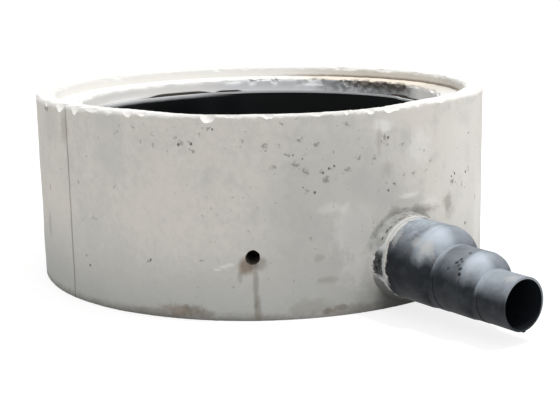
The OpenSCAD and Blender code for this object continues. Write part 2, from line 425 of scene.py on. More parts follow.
def bake(piece):
    """Turns a piece and its modifiers into a plain mesh."""
    bpy.context.view_layer.update()
    graph = bpy.context.evaluated_depsgraph_get()
    mesh = bpy.data.meshes.new_from_object(piece.evaluated_get(graph), depsgraph=graph)
    piece.modifiers.clear()
    old = piece.data
    piece.data = mesh
    bpy.data.meshes.remove(old)


def combine(piece, other, operation):
    """Joins another solid to a piece or cuts it out, and removes the other solid."""
    change = piece.modifiers.new("combine", "BOOLEAN")
    change.operation = operation
    change.solver = "MANIFOLD"
    change.material_mode = "TRANSFER"
    change.object = other
    bake(piece)
    bpy.data.objects.remove(other)
    if not piece.data.polygons:
        raise RuntimeError(f"{piece.name} came out empty")


def shade(piece, degrees):
    """Smooth shading with edges sharper than an angle left crisp."""
    piece.data.shade_smooth()
    piece.data.set_sharp_from_angle(angle=math.radians(degrees))


def hand_over(piece, slot, *nodes):
    """Sets a finished piece on its body, in place of its solids."""
    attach(piece, "root")
    if nodes:
        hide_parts(*nodes)


class Wire:
    """One output socket of a node tree. Arithmetic on it adds Math nodes, and node() adds any other kind."""

    def __init__(self, tree, socket):
        self.tree = tree
        self.socket = socket

    def node(self, kind, settings=None, inputs=None, out=0):
        """Adds a node, sets it up, fills its sockets and returns one of its outputs."""
        made = self.tree.nodes.new(kind)
        for key, value in (settings or {}).items():
            setattr(made, key, value)
        for key, value in (inputs or {}).items():
            socket = find_socket(made.inputs, key)
            if isinstance(value, Wire):
                self.tree.links.new(value.socket, socket)
            else:
                socket.default_value = value
        return Wire(self.tree, find_socket(made.outputs, out))

    def other(self, out):
        """Another output of the same node."""
        return Wire(self.tree, find_socket(self.socket.node.outputs, out))

    def math(self, operation, *values):
        """A Math node on values, or a Vector Math node where one of them is a vector."""
        vector = any(isinstance(v, Wire) and v.socket.type == "VECTOR" for v in values)
        kind = "ShaderNodeVectorMath" if vector else "ShaderNodeMath"
        filled = [(v,) * 3 if vector and not isinstance(v, Wire) else v for v in values]
        return self.node(kind, {"operation": operation}, dict(enumerate(filled)))

    def __add__(self, value):
        return self.math("ADD", self, value)

    def __radd__(self, value):
        return self.math("ADD", value, self)

    def __sub__(self, value):
        return self.math("SUBTRACT", self, value)

    def __rsub__(self, value):
        return self.math("SUBTRACT", value, self)

    def __mul__(self, value):
        return self.math("MULTIPLY", self, value)

    def __truediv__(self, value):
        return self.math("DIVIDE", self, value)

    def __pow__(self, value):
        return self.math("POWER", self, value)


def find_socket(sockets, key):
    """A socket by its place, its identifier or its name."""
    if isinstance(key, int):
        return sockets[key]
    for socket in sockets:
        if socket.identifier == key:
            return socket
    return sockets[key]


def smooth(value, low, high):
    """0 below low, 1 above high and a soft rise between them."""
    return value.node("ShaderNodeMapRange", {"interpolation_type": "SMOOTHSTEP"},
                      {"Value": value, "From Min": low, "From Max": high})


def between(value, low, high, soft):
    """1 between two values, with soft ends outside them."""
    return smooth(value, low - soft, low) * (1 - smooth(value, high, high + soft))


def blend(factor, first, second):
    """Goes from a first colour to a second one by a factor."""
    colours = [c if isinstance(c, Wire) else (*c[:3], 1) for c in (first, second)]
    return factor.node("ShaderNodeMix", {"data_type": "RGBA"},
                       {"Factor_Float": factor, "A_Color": colours[0], "B_Color": colours[1]},
                       out="Result_Color")


def cloud(place, scale, detail=4.0, roughness=0.55):
    """Noise of about 0.3 to 0.7, with features about 1 / scale metres wide."""
    return place.node("ShaderNodeTexNoise", None,
                      {"Vector": place, "Scale": scale, "Detail": detail, "Roughness": roughness})


def stretch(place, scale):
    """Coordinates scaled by a number for each axis."""
    return place.node("ShaderNodeMapping", {"vector_type": "POINT"}, {"Vector": place, "Scale": scale})


def most(first, *others):
    """The largest of several values."""
    for other in others:
        first = first.math("MAXIMUM", first, other)
    return first


def oval(across, along, uneven, inner, outer):
    """1 inside an oval of radius 1 and 0 outside it, with an uneven soft outline."""
    away = (across * across + along * along) ** 0.5 + uneven
    return 1 - smooth(away, inner, outer)


def centred(colour):
    """A noise colour as a push of about -0.5 to 0.5 along each axis."""
    return colour.node("ShaderNodeVectorMath", {"operation": "SUBTRACT"}, {0: colour, 1: (0.5, 0.5, 0.5)})


def turn_from_top(place, axis):
    """Angle round a tube along X, from its top towards -Y."""
    _, y, z = split(place)
    return y.math("ARCTAN2", 0 - y, z - axis)


def new_material(name, roughness):
    """A material, its shader and the object's coordinates."""
    material = bpy.data.materials.new(name)
    material.use_nodes = True
    tree = material.node_tree
    shader = tree.nodes["Principled BSDF"]
    shader.inputs["Roughness"].default_value = roughness
    place = Wire(tree, tree.nodes.new("ShaderNodeTexCoord").outputs["Object"])
    return material, shader, place


def feed(shader, place, colour=None, roughness=None, height=None, bump=0.5, bump_depth=0.001):
    """Links what changes over a surface to its shader."""
    links = place.tree.links
    if colour is not None:
        links.new(colour.socket, shader.inputs["Base Color"])
    if roughness is not None:
        links.new(roughness.socket, shader.inputs["Roughness"])
    if height is not None:
        normal = place.node("ShaderNodeBump", None,
                            {"Height": height, "Strength": bump, "Distance": bump_depth})
        links.new(normal.socket, shader.inputs["Normal"])


def split(place):
    """The three coordinates of a place."""
    x = place.node("ShaderNodeSeparateXYZ", None, {0: place}, out="X")
    return x, x.other("Y"), x.other("Z")


class WallMap:
    """Wires for the arc round the ring, the height and the radius, with soft marks placed on them."""

    def __init__(self, place):
        self.place = place
        x, y, self.height = split(place)
        self.radius = (x * x + y * y) ** 0.5
        self.turn = y.math("ARCTAN2", y, x)
        self.ragged = cloud(place, 38, 5, 0.65) - 0.5

    def mark(self, degrees, height, wide, tall, ragged=1.6, soft=0.5):
        """1 inside an oval on the wall and 0 outside it, with a ragged soft outline."""
        across = (self.turn - math.radians(degrees)) * (RING_R / wide)
        up = (self.height - height) / tall
        return oval(across, up, self.ragged * ragged, 1 - soft, 1 + soft)

    def spots(self, table):
        """1 inside small uneven spots on the wall and 0 outside them."""
        uneven = self.place.node("ShaderNodeTexNoise", None,
                                 {"Vector": self.place, "Scale": 85.0, "Detail": 3.0}, out="Color")
        warped = self.place + centred(uneven) * 0.030
        found = self.height * 0
        for degrees, height, radius in table:
            angle = math.radians(degrees)
            centre = (RING_R * math.cos(angle), RING_R * math.sin(angle), height)
            away = warped.node("ShaderNodeVectorMath", {"operation": "DISTANCE"},
                               {0: warped, 1: centre}, out="Value")
            found = most(found, 1 - smooth(away, radius * 0.2, radius))
        return found

    def arc_length(self, degrees):
        """Distance along the outside wall from a turn round the ring."""
        return self.turn.math("ABSOLUTE", self.turn - math.radians(degrees)) * RING_R

    def arc(self, degrees, span):
        """1 at a turn round the ring, falling softly to 0 at a span of degrees to either side."""
        x, y, _ = split(self.place)
        middle = math.radians(degrees)
        toward = (x * math.cos(middle) + y * math.sin(middle)) / self.radius
        return smooth(toward, math.cos(math.radians(span)), math.cos(math.radians(span * 0.45)))


def concrete_material(look):
    """Weathered cast concrete with clouds, stains, damp, tops pale from bleaching and painted highlight, and
    painted shade.
    """
    material, shader, place = new_material("weathered_concrete", 0.92)
    wall = WallMap(place)
    clouds = cloud(place, 4.5, 6, 0.6)
    runs = cloud(stretch(place, (9, 9, 1.4)), 1, 4)
    fine = cloud(place, 55, 5, 0.7)
    grain = cloud(place, 420, 2, 0.5)
    outside = smooth(wall.radius, RING_R - 0.012, RING_R - 0.004)
    mottling = smooth(clouds * 0.6 + runs * 0.3 + (fine - 0.5) * 0.5, 0.36, 0.60)
    colour = blend(mottling, look.pale, look.grey)
    colour = wall_colour(wall, clouds, fine, outside, colour, look)
    colour = packing_colour(place, fine, mottling, colour, look)
    colour = rim_colour(wall, fine, outside, colour, look)
    colour = blend(inner_face(wall, fine) * 0.96, colour, inner_colour(wall, clouds, fine, look))
    relief = fine * 0.6 + grain * 0.25 + clouds * 0.4
    feed(shader, place, colour, 0.84 + fine * 0.18, relief, 0.40, 0.0012)
    return material


def wall_colour(wall, clouds, fine, outside, colour, look):
    """Lays the outside wall's damp, smears, stains, seams and pits over its colour, with the stub's painted
    shadow below it.
    """
    low = (1 - smooth(wall.height + (clouds - 0.5) * 0.20, 0.01, 0.24)) * outside
    colour = blend(low * 0.86, colour, look.damp)
    patches = smooth(cloud(wall.place, 13, 4, 0.55), 0.50, 0.66) * (0.10 + wall.arc(-2, 50) * 0.30)
    colour = blend(patches * outside, colour, look.smeared)
    foot = (1 - smooth(wall.height + (fine - 0.5) * 0.030, 0.000, 0.028)) * outside
    colour = blend(foot * 0.65, colour, look.dirt)
    for degrees, height, wide, tall, ragged, strength, tone in WALL_MARKS:
        mask = wall.mark(degrees, height, wide, tall, ragged) * outside * strength
        colour = blend(mask, colour, getattr(look, tone))
    # Painted shadow: the dark wedge that the stub casts on the wall below it.
    stub_shadow = wall.mark(-1, 0.022, 0.070, 0.080, 0.15, 0.35)
    colour = blend(stub_shadow * outside * 0.80, colour, look.painted_shade)
    from_seam = wall.arc_length(math.degrees(look.seam_at))
    seam = smooth(from_seam + (fine - 0.5) * 0.006, 0.0055, 0.0010)
    colour = blend(seam * outside * (0.40 + (clouds - 0.5) * 0.8), colour, look.dirt)
    specks = smooth(cloud(wall.place, 110, 1.5, 0.5), 0.70, 0.78)
    colour = blend(specks * wall.arc(-12, 60) * outside * 0.40, colour, look.moss)
    return blend(wall.spots(WALL_SPOTS) * outside * (0.58 + (fine - 0.5) * 1.2), colour, look.moss)


def packing_colour(place, fine, mottling, colour, look):
    """Concrete packed round the socket: a pale bead at its end, painted shade near the wall and underneath,
    and painted shadow in gaps here and there behind the bead.
    """
    x, y, z = split(place)
    near = 1 - smooth((y * y + (z - TUBE_Z) * (z - TUBE_Z)) ** 0.5, ROOT_R + 0.016, ROOT_R + 0.024)
    around = turn_from_top(place, TUBE_Z)
    bead = smooth(x + (fine - 0.5) * 0.014, RING_R + 0.026, RING_R + 0.032)
    colour = blend(bead * (0.62 - mottling * 0.25), colour, look.bleached)
    off_top = around.math("ABSOLUTE", around)
    # Painted shade on the collar between the wall and the bead.
    collar_shade = near * smooth(x, RING_R - 0.016, RING_R - 0.006) * (1 - bead) * (1 - smooth(off_top, 1.0, 1.5))
    colour = blend(collar_shade * 0.55, colour, look.damp)
    colour = blend(collar_shade * (0.30 + (fine - 0.5) * 1.4), colour, look.painted_shade)
    # Painted shade on the packing's underside near the wall.
    under = smooth(off_top, math.radians(98), math.radians(116))
    colour = blend(under * smooth(x, RING_R - 0.004, RING_R + 0.004) * 0.85, colour, look.painted_shade)
    # Painted shadow in small gaps behind the bead.
    for degrees, half_turn, out, half_out in PACKING_GAPS:
        far = (x - RING_R - out) / half_out
        turned = (around - math.radians(degrees)) / math.radians(half_turn)
        gap = oval(far, turned, (fine - 0.5) * 1.8, 0.6, 1.1)
        colour = blend(gap * near * 0.80, colour, look.shadow)
    return colour


def rim_colour(wall, fine, outside, colour, look):
    """Lays the pale tops (bleaching and painted highlight), the dusty ledge, the rebate's painted highlight
    and its dirty corner over the concrete's colour.
    """
    height = wall.height
    uneven = (fine - 0.5) * 0.010
    spared = wall.arc(14, 16) * 0.005
    # Pale tops: bleaching, and painted highlight where the light falls on them.
    top = smooth(height + uneven + wall.ragged * 0.018 - spared, RING_H - 0.013, RING_H - 0.006)
    colour = blend(top * 0.9, colour, look.bleached)
    ledge = smooth(height, LEDGE_Z - 0.008, LEDGE_Z - 0.003)
    ledge = ledge * (1 - smooth(height, LEDGE_Z + 0.001, LEDGE_Z + 0.004))
    ledge = ledge * (1 - smooth(wall.radius, REBATE_R - 0.006, REBATE_R + 0.002))
    colour = blend(ledge * 0.9, colour, blend(wall.arc(95, 45), look.lime_and_highlight, look.cream))
    colour = blend(ledge * wall.arc(62, 22) * 0.45, colour, look.smeared)
    # Painted highlight on the rebate's face, but for the stretch that turns from the light.
    rebate = smooth(wall.radius, REBATE_R - 0.004, REBATE_R - 0.001) * (1 - outside)
    colour = blend(rebate * (1 - wall.arc(75, 58)) * 0.85, colour, look.bleached)
    corner = rebate * (1 - smooth(height + uneven, LEDGE_Z + 0.002, LEDGE_Z + 0.010))
    return blend(corner * wall.arc(95, 50) * 0.75, colour, look.rust)


def inner_face(wall, fine):
    """1 on the bore and on the broken edge above it."""
    near = 1 - smooth(wall.radius, BORE_R + 0.020, BORE_R + 0.034)
    return near * (1 - smooth(wall.height + (fine - 0.5) * 0.006, LEDGE_Z - 0.006, LEDGE_Z - 0.003))


def inner_colour(wall, clouds, fine, look):
    """Concrete below the ledge: lime and painted highlight at the sides, cool at the back, painted shade on
    the worn bevel, dirt and painted shade on the right, brown and painted shade where broken, painted shadow
    in the gap.
    """
    # Near white at the sides: lime, and painted highlight where these faces are lit.
    colour = blend(wall.arc(126, 44), look.lime_and_highlight, look.inner)
    # Painted shade on the worn bevel at the ledge's inner edge.
    shaded_bevel = smooth(wall.radius, BORE_R + 0.0020, BORE_R + 0.0045) * wall.arc(130, 75)
    colour = blend(shaded_bevel * 0.60, colour, look.smeared)
    # Dirt and painted shade on the right, where the inner face turns from the light.
    dirty = wall.arc(101, 27) * smooth(clouds * 0.6 + fine * 0.4, 0.36, 0.56)
    colour = blend(dirty * 0.9, colour, look.inner_dark)
    # Where the ledge is broken: brown crust and painted shade.
    patches = smooth(wall.height + (fine - 0.5) * 0.05, LEDGE_Z - 0.034, LEDGE_Z - 0.016)
    colour = blend(wall.arc(97, 19) * patches * 0.9, colour, look.broken)
    # Painted shadow on the concrete behind the liner's lip, a little higher at the slits.
    slit = wall.arc(177, 14) * 0.007 + wall.arc(157.5, 5.5) * 0.005 + wall.arc(87, 6) * 0.005
    gap = 1 - smooth(wall.height - slit, LINER_HIGH.z - 0.001, LINER_HIGH.z + 0.002)
    return blend(gap, colour, look.shadow)


def chip_material(look):
    """The pale, sugary face of a fresh chip."""
    material, shader, place = new_material("fresh_chip", 0.95)
    fine = cloud(place, 130, 4, 0.65)
    colour = blend(smooth(fine, 0.45, 0.80) * 0.5, look.bleached, look.grey)
    feed(shader, place, colour, None, fine, 0.3, 0.001)
    return material


def grime_and_shade_material(name, first, second):
    """Painted shade and grime inside a hole."""
    material, shader, place = new_material(name, 0.95)
    feed(shader, place, blend(cloud(place, 90, 3), first, second))
    return material


def liner_material(look):
    """Black polyethylene with dust on the lip's edge, dust and painted highlight in a band inside the lip on
    the left, and cement on the socket's end.
    """
    material, shader, place = new_material("liner_plastic", 0.55)
    shader.inputs["Specular IOR Level"].default_value = 0.15
    wall = WallMap(place)
    x = split(place)[0]
    clouds = cloud(place, 14, 5, 0.6)
    fine = cloud(place, 160, 3)
    deeper = wall.arc(118, 70) * 0.0032
    edge = smooth(wall.height + deeper, LINER_HIGH.z - 0.0030, LINER_HIGH.z - 0.0012)
    # A pale band inside the lip on the left: dust, and painted highlight where the light falls on it.
    powdered_and_lit = smooth(wall.height + (clouds - 0.5) * 0.004, LINER_HIGH.z - 0.015, LINER_HIGH.z - 0.001)
    lip = most(edge * 0.75, wall.arc(-170, 36) * powdered_and_lit)
    side = turn_from_top(place, TUBE_Z)
    bare = between(side + (clouds - 0.5) * 0.3, math.radians(80), math.radians(102), 0.20)
    end = smooth(x + (fine - 0.5) * 0.006, LINER_HIGH.x - 0.005, LINER_HIGH.x - 0.002)
    cement = most(end * (0.80 + (fine - 0.5)), 1 - bare * (0.90 - (fine - 0.5) * 0.5))
    dusty = most(lip, cement * smooth(x, RING_R - 0.02, RING_R - 0.01) * 0.7)
    colour = blend(dusty, look.black, look.dust)
    feed(shader, place, colour, 0.55 + dusty * 0.35, fine, 0.15, 0.0005)
    return material


def stub_stations(look):
    """Places along X where the root, its shoulder, the middle step and its shoulder end."""
    root_to = RING_R + look.root_len
    middle_from = root_to + look.root_shoulder
    middle_to = middle_from + look.middle_len
    return root_to, middle_from, middle_to, middle_to + look.middle_shoulder


def stub_material(look):
    """Black polyethylene dusted blue-grey on top, with splashed cement and bare specks; the dust's spread
    also holds painted light and shade.
    """
    material, shader, place = new_material("stub_plastic", 0.6)
    shader.inputs["Specular IOR Level"].default_value = 0.20
    root_to, middle_from, middle_to, last_from = stub_stations(look)
    x = split(place)[0]
    clouds = cloud(place, 18, 5, 0.6)
    blotches = cloud(place, 34, 4, 0.6)
    fine = cloud(place, 130, 4, 0.6)
    axis = TUBE_Z - smooth(x, root_to, middle_from) * (ROOT_R - look.middle_r)
    axis = axis - smooth(x, middle_to, last_from) * (look.middle_r - LAST_R)
    around = turn_from_top(place, axis)
    # The stub's dust, which also holds its painted light and shade.
    dust = stub_dust_and_light(place, around, clouds, blotches, fine, look)
    colour = blend(dust, look.black, look.dust)
    for along, degrees, half_length, half_turn, uneven, strength, tone in STUB_MARKS:
        far = (x - along) / half_length
        turned = (around - math.radians(degrees)) / math.radians(half_turn)
        mark = oval(far, turned, (fine - 0.5) * uneven, 0.5, 1.2)
        colour = blend(mark * strength, colour, getattr(look, tone))
    ragged_x = x + (blotches - 0.5) * 0.030 + (fine - 0.5) * 0.010
    ring = 1 - smooth(ragged_x, LINER_HIGH.x + 0.006, LINER_HIGH.x + 0.010)
    ring = ring * between(around, math.radians(-70), math.radians(108), 0.35)
    colour = blend(ring * 0.90, colour, look.bead)
    feed(shader, place, colour, 0.55 + dust * 0.35, fine * 0.5 + clouds * 0.5, 0.25, 0.0008)
    return material


def stub_dust_and_light(place, around, clouds, blotches, fine, look):
    """How pale the stub is, from dust and painted light: fading down its sides with painted shade, thick on
    its shoulders, dust and painted highlight in lines at its steps, painted highlight on the mouth's rim.
    """
    root_to, middle_from, middle_to, last_from = stub_stations(look)
    x = split(place)[0]
    outward = split(place.node("ShaderNodeTexCoord", None, None, out="Normal"))[0]
    up = around.math("COSINE", around)
    broad = cloud(place, 11, 4, 0.6)
    ragged = (broad - 0.5) * 0.70 + (blotches - 0.5) * 0.25 + (fine - 0.5) * 0.12
    shoulders = most(between(x, root_to + 0.005, middle_from - 0.003, 0.003),
                     between(x, middle_to + 0.005, last_from - 0.003, 0.003))
    # Painted shade: the shoulders' faces that turn outwards along the stub get less dust, so they are
    # darker.
    steep_shade = shoulders * smooth(outward, 0.30, 0.95) * 0.20
    # Dust thins down the sides, and this fall-off is also painted light: lit tops, shaded sides.
    settled_and_lit = smooth(up - steep_shade + ragged * 0.8, 0.12, 0.92)
    humps = most(between(x, root_to - 0.004, middle_from - 0.012, 0.024),
                 between(x, middle_to + 0.001, last_from - 0.012, 0.022))
    humps = humps * (1 - smooth(0 - around, -0.30, 0.10) * 0.72)
    on_root = 1 - smooth(x, root_to - 0.030, root_to)
    on_last = smooth(x, last_from - 0.006, last_from + 0.004)
    level = 0.290 + humps * 0.48 + on_last * 0.21 + (clouds - 0.5) * 0.46
    level = level + on_root * (0.17 + smooth(up, 0.70, 0.98) * 0.18 - smooth(blotches, 0.42, 0.60) * 0.17)
    film = smooth(blotches * 0.5 + broad * 0.5, 0.44, 0.62) * 0.030
    # Dust and painted highlight in thin lines where each smaller step begins.
    dusty_lit_lines = most(between(x, middle_from, middle_from + 0.002, 0.003),
                between(x, last_from, last_from + 0.002, 0.003))
    # Painted highlight on the top and far side of the mouth's rim.
    mouth = smooth(x, STUB_HIGH.x - 0.0020, STUB_HIGH.x - 0.0008) * (1 - smooth(around, 0.1, 0.6))
    return most(settled_and_lit * level, film, dusty_lit_lines * settled_and_lit * smooth(up, 0.40, 0.80) * 0.60,
                mouth * smooth(up, -0.6, 0.2) * 0.32)


def inside_material(look):
    """The clean black inside of the stub."""
    material, shader, place = new_material("stub_inside", 0.6)
    shader.inputs["Specular IOR Level"].default_value = 0.2
    fine = cloud(place, 120, 3)
    colour = blend(fine, [c * 0.7 for c in look.black], look.black)
    feed(shader, place, colour, None, fine, 0.15, 0.0005)
    return material


def wear_corner(rows, corner_r, corner_z, toward_r, toward_z, depth):
    """Cuts a corner of turned rows back along its diagonal to a depth at each point."""
    radius = np.hypot(rows[..., 0], rows[..., 1])
    across = (radius - corner_r) * toward_r
    down = (rows[..., 2] - corner_z) * toward_z
    on_corner = (across > -1e-6) & (down > -1e-6)
    move = np.where(on_corner, np.clip(depth - across - down, 0, None) / 2, 0)
    grown = (radius + toward_r * move) / np.where(radius > 0, radius, 1)
    rows[..., 0] *= grown
    rows[..., 1] *= grown
    rows[..., 2] += toward_z * move


def lump(degrees, radius, height, sizes, seed):
    """Rows of an uneven ball at a place round the ring, sized outwards, along the ring and upwards."""
    half_turn = np.linspace(-math.pi / 2, math.pi / 2, 12)
    rows = lathe([(math.cos(a), math.sin(a)) for a in half_turn], circle(22))
    rows *= (1 + 0.16 * field(rows, 1.2, seed) + 0.06 * field(rows, 3.5, seed + 50))[..., None]
    rows = rows * np.array(sizes) + np.array((radius, 0, height))
    return rows @ np.array(Matrix.Rotation(math.radians(degrees), 3, "Z")).T


def bench_section(grow, look):
    """The liner's section from the axis out, grown outwards: sloping benching, then the rounded corner."""
    wall_r = grow - LINER_LOW.x - look.wall
    slope = math.atan(look.bench_rise / wall_r)
    round_r = look.bench_round + grow
    mid_r = wall_r - round_r
    low = TUBE_Z - grow
    mid_z = low + mid_r * math.tan(slope) + round_r / math.cos(slope)
    flat = [(mid_r * part, low + mid_r * part * math.tan(slope)) for part in (0, 0.2, 0.4, 0.7)]
    turns = np.linspace(slope - math.pi / 2, 0, 7)
    return flat + [(mid_r + round_r * math.cos(a), mid_z + round_r * math.sin(a)) for a in turns]


def rim_drop(degrees, look):
    """How far the rim's inner edge is worn down at a turn round the ring."""
    return look.rim_wear * np.exp(-((degrees - look.rim_wear_at) / look.rim_wear_span) ** 6)


def ring_profile(tub):
    """Section of the ring from the axis out and back: foot, wall, rim, rebate, ledge, bore and bed."""
    bed = bench_section(tub.wall + FIT_GAP, tub)[::-1]
    worn_to = LEDGE_Z - 0.08
    profile = [(0, 0)]
    profile += [(r, 0) for r in np.linspace(0.10, RING_R - 0.04, 6)]
    profile += [(r, 0) for r in graded(RING_R - 0.03, RING_R, 8)]
    profile += [(RING_R, z) for z in graded(0, RING_H, 40)]
    profile += [(r, RING_H) for r in graded(RING_R, REBATE_R, 14)]
    profile += [(REBATE_R, z) for z in graded(RING_H, LEDGE_Z, 10)]
    profile += [(r, LEDGE_Z) for r in graded(REBATE_R, BORE_R, 18)]
    profile += [(BORE_R, z) for z in graded(LEDGE_Z, worn_to, 12)]
    profile += [(BORE_R, z) for z in np.linspace(worn_to, bed[0][1], 4, endpoint=False)]
    return profile + bed


def ring_rows(look, tub):
    """Rows of points of the worn ring, with its mould seams."""
    half = look.seam_width / 2 / RING_R
    seams = [look.seam_at, look.seam_at + math.pi]
    beside = [seam + half * np.array([-1.6, -0.5, 0.5, 1.6]) for seam in seams]
    turns = np.unique(np.concatenate([circle(look.columns), *beside]))
    rows = lathe(ring_profile(tub), turns)
    coarse = field(rows, 9, 1)
    medium = field(rows, 26, 2)
    sharp = field(rows, 75, 3)
    depth = look.edge_wear * (1 + 0.3 * sharp) + look.edge_chips * (rise(medium, -0.1, 0.7) + 0.5 * sharp)
    outline = rows.copy()
    wear_corner(outline, RING_R, RING_H, -1, -1, depth)
    wear_corner(outline, REBATE_R, RING_H, 1, -1, depth + 0.005 * rise(medium, 0.0, 0.5))
    worn = 0.15 + np.exp(-((np.degrees(turns) - look.worn_at) / look.worn_span) ** 4)
    scallops = look.scallops * rise(field(rows, 20, 4), -0.05, 0.30) * worn
    wear_corner(outline, BORE_R, LEDGE_Z, 1, -1, depth * 1.3 + scallops)
    wear_corner(outline, RING_R, 0, -1, 1, look.edge_wear * (1 + 0.25 * sharp))
    radius = np.hypot(outline[..., 0], outline[..., 1])
    on_wall = radius > RING_R - WANDER
    in_seam = np.zeros(len(turns))
    for seam in seams:
        in_seam[np.abs(turns - seam) < half] = 1
    inward = look.seam_depth * in_seam[None, :] * on_wall
    inward = inward - look.waviness * coarse * (radius > BORE_R + WANDER)
    outline[..., :2] *= (1 - inward / np.where(radius > 0, radius, 1))[..., None]
    flat_top = outline[..., 2] > LEDGE_Z - WANDER
    outline[..., 2] += np.where(flat_top, look.waviness * medium, 0)
    inner = rise(RING_R - radius, 0.0, 0.040)
    on_rim = rise(outline[..., 2], RING_H - 0.028, RING_H - 0.012) * (radius > REBATE_R - 0.001)
    # The rim's outer edge is worn a third as much as its inner one
    outline[..., 2] -= on_rim * rim_drop(np.degrees(turns), look) * (1 + 2 * inner) / 3
    farthest = RING_R + WANDER
    limit = farthest / np.maximum(np.hypot(outline[..., 0], outline[..., 1]), farthest)
    outline[..., :2] *= limit[..., None]
    return outline


def packing_rows(look, tub):
    """Rows of the uneven concrete packed round the socket, left off at the side where the socket is bare."""
    around = circle(160)
    socket_r = ROOT_R + FIT_GAP + tub.socket_wall
    bare = np.exp(-((around - math.radians(90)) / math.radians(24)) ** 4)
    reach = RING_HIGH.x + 0.011 - bare * 0.027 + 0.004 * np.sin(around * 23) * np.sin(around * 9 + 1)
    start = RING_R - 0.05
    thick = look.packing_wall
    rows = [lathe([(0, start)], around)[0], lathe([(socket_r + thick, start)], around)[0]]
    # Shares of the way out, and of the packing's thickness there
    for part, left in ((0.0, 1.0), (0.4, 1.0), (0.6, 0.7), (0.75, 0.45), (0.9, 0.32), (1.0, 0.2)):
        row = lathe([(socket_r + thick * left, 0)], around)[0]
        row[:, 2] = start + 0.01 + (reach - start - 0.01) * part
        rows.append(row)
    last = lathe([(socket_r - 0.002, 0)], around)[0]
    last[:, 2] = reach
    rows += [last, lathe([(0, reach.min())], around)[0]]
    rows = np.array(rows)
    radius = np.hypot(rows[..., 0], rows[..., 1])
    drawn_in = tub.socket_taper * np.clip((rows[..., 2] - TAPER_FROM) / (LINER_HIGH.x - TAPER_FROM), 0, 1)
    rows[..., :2] *= (1 - drawn_in / np.maximum(radius, socket_r / 2))[..., None]
    lumps = field(rows, 45, 5) * 0.0022 + field(rows, 120, 6) * 0.0012
    rows[..., :2] *= (1 + np.where(radius > socket_r, lumps / np.maximum(radius, socket_r), 0))[..., None]
    rows[4:-1, :, 2] += field(rows[4:-1], 60, 8) * 0.0035
    return along_x(rows, TUBE_Z)


def tube_bar(name, profile, height, material, count=128):
    """A round bar along X from a profile of places along X and radii."""
    rows = lathe([(r, x) for x, r in profile], circle(count))
    return closed_solid(name, material, along_x(rows, height))


def plain_profile(start, end, radius):
    """Profile of a plain round bar."""
    return [(start, 0), (start, radius), (end, radius), (end, 0)]


def channel_bar(name, tube_r, grow, tube_end, look, material):
    """The liner's channel and tube as one solid: a ramp, then the tube on to its last places and radii."""
    back = -look.channel_back
    tip = back - look.ramp - grow
    profile = [(tip, 0), (tip, look.ramp_tip + grow), (back, tube_r), *tube_end, (tube_end[-1][0], 0)]
    return tube_bar(name, profile, TUBE_Z, material)


def scatter_tree():
    """Geometry Nodes that scatter uneven lumps over a surface by its density attribute."""
    tree = bpy.data.node_groups.new("scatter_lumps", "GeometryNodeTree")
    inputs = (("Surface", "Geometry"), ("Number", "Float"), ("Least", "Float"), ("Most", "Float"),
              ("Flatness", "Float"), ("Unevenness", "Float"), ("Seed", "Int"), ("Finish", "Material"))
    for label, kind in inputs:
        tree.interface.new_socket(label, in_out="INPUT", socket_type="NodeSocket" + kind)
    tree.interface.new_socket("Lumps", in_out="OUTPUT", socket_type="NodeSocketGeometry")
    entry = Wire(tree, tree.nodes.new("NodeGroupInput").outputs["Surface"])
    density = entry.node("GeometryNodeInputNamedAttribute", {"data_type": "FLOAT"}, {"Name": "density"})
    points = entry.node("GeometryNodeDistributePointsOnFaces", {"distribute_method": "RANDOM"},
                        {"Mesh": entry, "Seed": entry.other("Seed"),
                         "Density": density * entry.other("Number")})
    pick = entry.node("FunctionNodeRandomValue", {"data_type": "FLOAT"},
                      {"Min_001": 0.0, "Max_001": 1.0, "Seed": entry.other("Seed")}, out="Value_001")
    size = entry.other("Least") + (entry.other("Most") - entry.other("Least")) * pick ** 2.5
    scale = entry.node("ShaderNodeCombineXYZ", None,
                       {"X": size, "Y": size * (0.7 + pick * 0.5), "Z": size * entry.other("Flatness")})
    ball = entry.node("GeometryNodeMeshIcoSphere", None, {"Radius": 1.0, "Subdivisions": 2})
    placed = entry.node("GeometryNodeInstanceOnPoints", None,
                        {"Points": points, "Instance": ball, "Scale": scale,
                         "Rotation": points.other("Rotation")})
    real = entry.node("GeometryNodeRealizeInstances", None, {"Geometry": placed})
    spot = entry.node("GeometryNodeInputPosition")
    rough = entry.node("ShaderNodeTexNoise", None,
                       {"Vector": spot, "Scale": 160.0, "Detail": 1.0}, out="Color")
    push = centred(rough) * entry.other("Unevenness")
    moved = entry.node("GeometryNodeSetPosition", None, {"Geometry": real, "Offset": push})
    merged = entry.node("GeometryNodeMeshBoolean", {"operation": "UNION", "solver": "EXACT"},
                        {"Mesh 2": moved, "Self Intersection": True})
    done = entry.node("GeometryNodeSetMaterial", None,
                      {"Geometry": merged, "Material": entry.other("Finish")})
    tree.links.new(done.socket, tree.nodes.new("NodeGroupOutput").inputs["Lumps"])
    return tree


def scatter(piece, tree, **values):
    """Replaces a surface with the lumps that the node tree scatters over it."""
    change = piece.modifiers.new("scatter", "NODES")
    change.node_group = tree
    for item in tree.interface.items_tree:
        if item.in_out == "INPUT" and item.name.lower() in values:
            change[item.identifier] = values[item.name.lower()]
    bake(piece)


def density_patch(name, rows, density, material):
    """An open surface over rows of points, with a density at each point for scattering."""
    count, around = rows.shape[:2]
    index = np.arange(count * around).reshape(count, around)
    after = np.roll(index, -1, 1)
    quads = np.stack([index[:-1], after[:-1], after[1:], index[1:]], -1).reshape(-1, 4)
    piece = mesh_object(name, rows.reshape(-1, 3), quads.tolist(), material)
    made = piece.data.attributes.new("density", "FLOAT", "POINT")
    made.data.foreach_set("value", density.astype(np.float32).ravel())
    return piece


